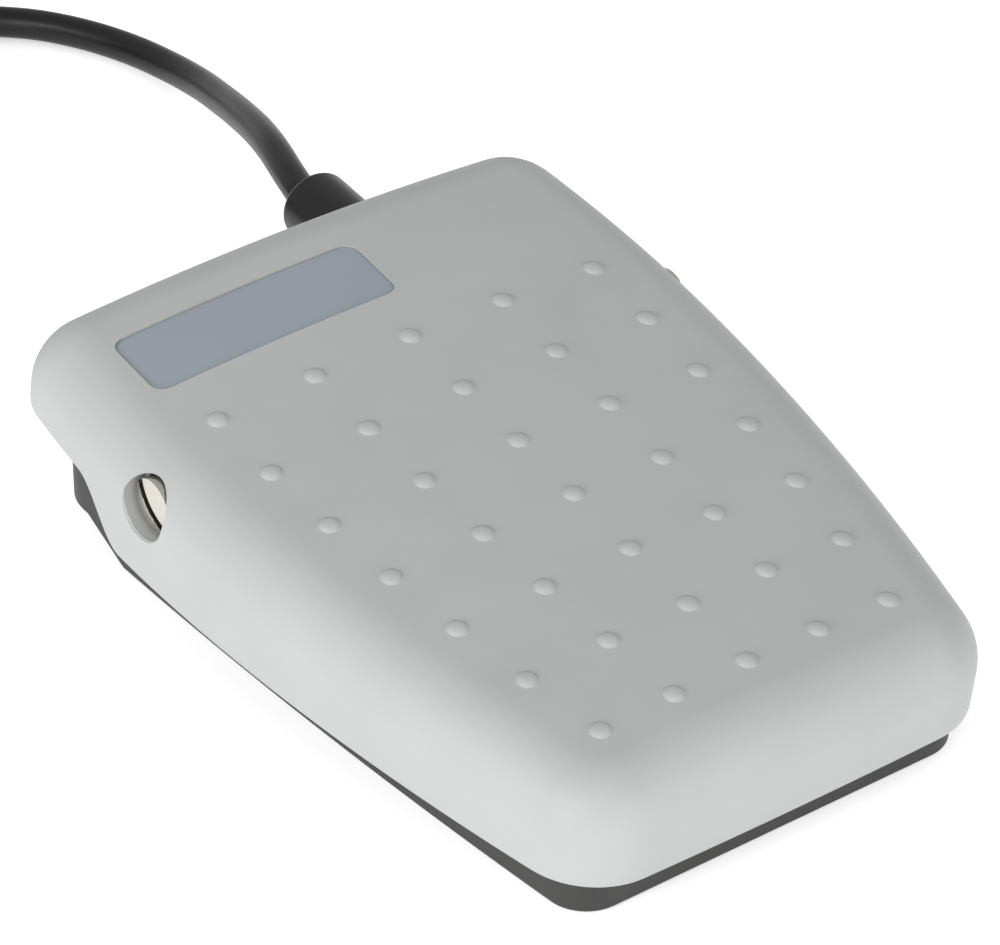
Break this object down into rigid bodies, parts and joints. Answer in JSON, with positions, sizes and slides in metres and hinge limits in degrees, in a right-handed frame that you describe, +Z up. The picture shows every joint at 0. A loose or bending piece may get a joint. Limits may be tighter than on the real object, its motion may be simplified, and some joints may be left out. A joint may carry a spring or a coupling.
{
  "type": "foot switch",
  "caption": "Single-pedal foot switch: studded cover hinged near its back on a tray base, lever microswitch and return springs inside, boot and coiled cord at the back.",
  "frame": {"origin": "on the floor, in the middle of the outline of the switch without its boot, cord and coil", "axes": "+Z up; +Y to the back, where the cord leaves; +X to the right, along the hinge"},
  "size_m": [0.1352, 0.3332, 0.0466],
  "materials": {
    "cover_plastic": "light grey moulded plastic with a fine matt grain",
    "label_film": "bluish grey satin film, bare",
    "base_plastic": "dark grey moulded plastic with a fine matt grain",
    "plated_steel": "nickel-plated steel",
    "spring_steel": "bright steel",
    "buffer_rubber": "black rubber",
    "case_plastic": "black moulded plastic",
    "lid_plastic": "dark red moulded plastic",
    "contact_brass": "brass strip",
    "core_blue": "blue core insulation",
    "core_brown": "brown core insulation",
    "core_black": "black core insulation",
    "cord_rubber": "black satin sheath",
    "tinned_copper": "tinned stranded copper"
  },
  "bodies": {
    "base": {"base_tray": "base_plastic", "pivot_screw_left": "plated_steel", "pivot_screw_right": "plated_steel", "pivot_nuts": "plated_steel", "return_spring_left": "spring_steel", "return_spring_right": "spring_steel", "stop_buffers": "buffer_rubber", "rubber_feet": "buffer_rubber", "switch_bracket": "spring_steel", "bracket_screws": "plated_steel", "switch_case": "case_plastic", "switch_lid": "lid_plastic", "switch_screws": "plated_steel", "switch_nuts": "plated_steel", "lever_pin": "spring_steel", "terminal_common": "contact_brass", "terminal_open": "contact_brass", "terminal_closed": "contact_brass", "connectors": "contact_brass", "wire_common": "core_blue", "wire_open": "core_brown", "wire_closed": "core_black", "cord_clamp": "case_plastic", "clamp_screws": "plated_steel", "strain_relief": "cord_rubber", "inner_sheath": "cord_rubber", "cord": "cord_rubber", "cord_coil": "cord_rubber", "coil_tie": "case_plastic", "core_ends": "core_brown", "tinned_ends": "tinned_copper"},
    "pedal": {"pedal_cover": "cover_plastic", "label_plate": "label_film"},
    "lever": {"switch_lever": "spring_steel"},
    "button": {"switch_button": "lid_plastic"},
    "strip": {"contact_strip": "contact_brass"}
  },
  "joints": [
    {"name": "pedal_hinge", "type": "hinge", "parent": "base", "child": "pedal", "pos_m": [0, 0.02695, 0.03135], "axis": [1, 0, 0], "range_deg": [0, 2.5], "stiffness_Nm_per_rad": 8, "springref_deg": -4.58, "deforming": ["return_spring_left", "return_spring_right"]},
    {"name": "lever_hinge", "type": "hinge", "parent": "base", "child": "lever", "pos_m": [0, -0.0188, 0.0225], "axis": [1, 0, 0], "range_deg": [0, 7.9]},
    {"name": "button_slide", "type": "slide", "parent": "base", "child": "button", "axis": [0, 0, -1], "range_m": [0, 0.00105]},
    {"name": "strip_hinge", "type": "hinge", "parent": "base", "child": "strip", "pos_m": [0, -0.03655, 0.0139], "axis": [-1, 0, 0], "range_deg": [0, 5.9]}
  ],
  "couplings": [
    {"joint": "lever_hinge", "follows": "pedal_hinge", "ratio": 3.1},
    {"joint": "button_slide", "follows": "pedal_hinge", "m_per_rad": 0.0235},
    {"joint": "strip_hinge", "follows": "pedal_hinge", "ratio": 2.29}
  ]
}
